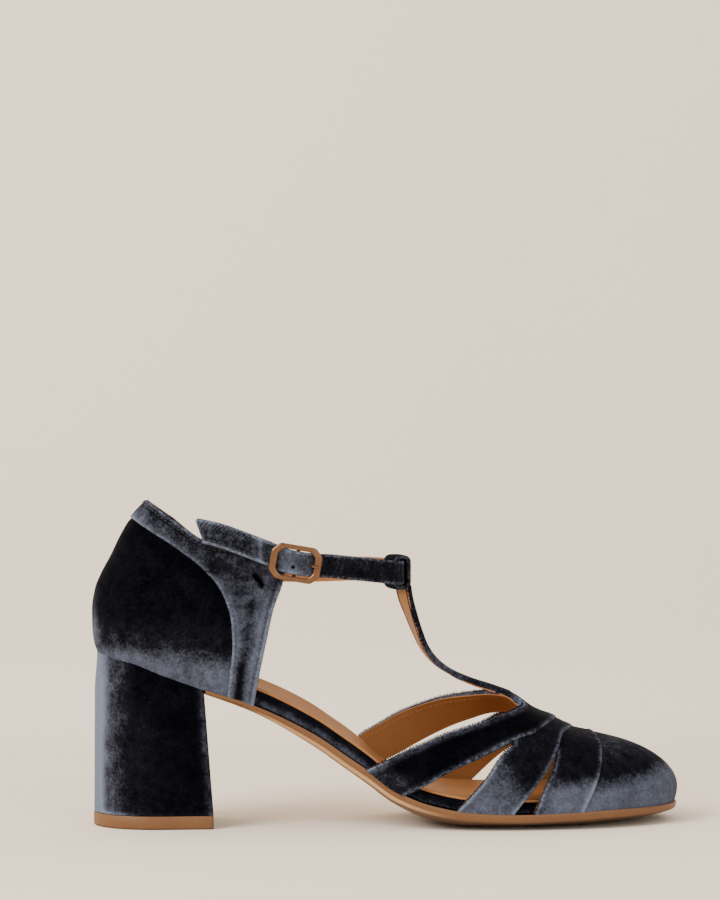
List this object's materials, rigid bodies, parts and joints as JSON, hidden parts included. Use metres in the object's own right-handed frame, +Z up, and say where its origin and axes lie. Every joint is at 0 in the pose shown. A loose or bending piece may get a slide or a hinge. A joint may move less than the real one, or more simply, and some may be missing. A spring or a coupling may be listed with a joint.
{
  "type": "heeled t-strap shoe",
  "caption": "Right block-heel shoe with an open waist, a fan of velvet bands over a closed toe, a T-strap and a buckled ankle strap",
  "frame": {"origin": "middle of the shoe's box, on the floor under it", "axes": "+X points from heel to toe, +Y to the inner (medial) side of the right foot, +Z up"},
  "size_m": [0.239, 0.081, 0.1315],
  "materials": {
    "velvet": "dark slate-blue velvet pile",
    "sole_leather": "smooth tan leather",
    "lining_leather": "matte tan lining leather",
    "copper": "brushed copper-coloured metal"
  },
  "bodies": {
    "root": {"outsole": "sole_leather", "insole_board": "velvet", "sock_lining": "lining_leather", "heel": "velvet", "heel_top_lift": "sole_leather", "quarter": "velvet", "vamp": "velvet", "ankle_strap": "velvet", "buckle_frame": "copper", "buckle_prong": "copper", "buckle_tab": "lining_leather"}
  },
  "joints": []
}
